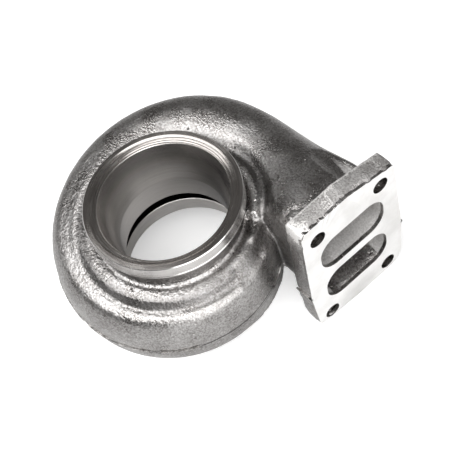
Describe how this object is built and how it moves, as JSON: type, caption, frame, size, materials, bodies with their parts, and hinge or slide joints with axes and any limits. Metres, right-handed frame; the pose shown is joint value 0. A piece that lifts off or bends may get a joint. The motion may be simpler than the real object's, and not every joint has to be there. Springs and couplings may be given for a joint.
{
  "type": "turbocharger turbine housing",
  "caption": "Twin-scroll turbocharger turbine housing: a cast spiral volute with a divided rectangular inlet flange and a round turned exhaust outlet.",
  "frame": {"origin": "on the turbine axis, at the face that bolts to the bearing housing", "axes": "+Z along the turbine axis towards the exhaust outlet, +X out of the gas inlet flange, +Y towards the side on which the inlet duct lies"},
  "size_m": [0.1745, 0.1756, 0.1078],
  "materials": {
    "cast_housing": "shot-blasted cast skin with turned outlet and bore and a ground inlet face"
  },
  "bodies": {
    "root": {"turbine_housing": "cast_housing"}
  },
  "joints": []
}
